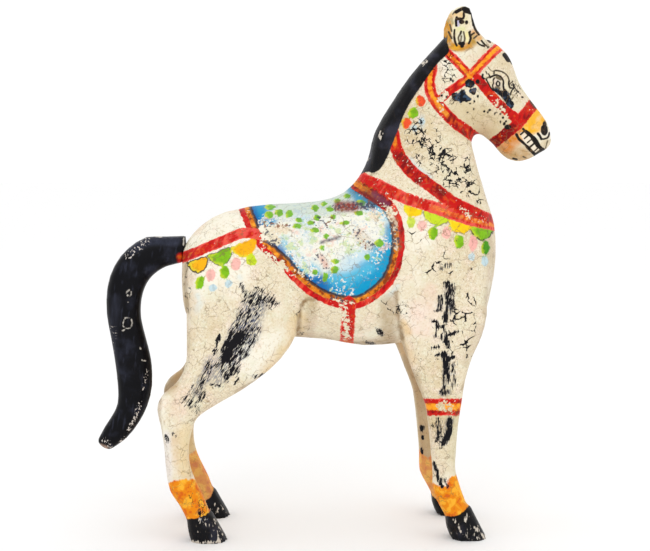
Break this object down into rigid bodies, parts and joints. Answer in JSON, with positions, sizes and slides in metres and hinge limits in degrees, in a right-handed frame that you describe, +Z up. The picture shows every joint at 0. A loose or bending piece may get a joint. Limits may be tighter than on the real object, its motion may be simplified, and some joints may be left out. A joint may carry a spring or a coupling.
{
  "type": "horse figurine",
  "caption": "Standing carved wooden horse with painted tack and saddle cloth, a carved mane, small ears and a separate curved tail, balanced on its hooves.",
  "frame": {"origin": "on the floor under the middle of the whole figure, between the four hooves", "axes": "+X towards where the horse faces, +Z up, +Y towards the horse's left side"},
  "size_m": [0.522, 0.1436, 0.6],
  "materials": {
    "painted_wood": "aged cream paint, crackled and worn through in places, with painted tack in red, blue, green and yellow",
    "black_painted_wood": "chipped satin black paint"
  },
  "bodies": {
    "root": {"horse": "painted_wood", "tail": "black_painted_wood"}
  },
  "joints": []
}
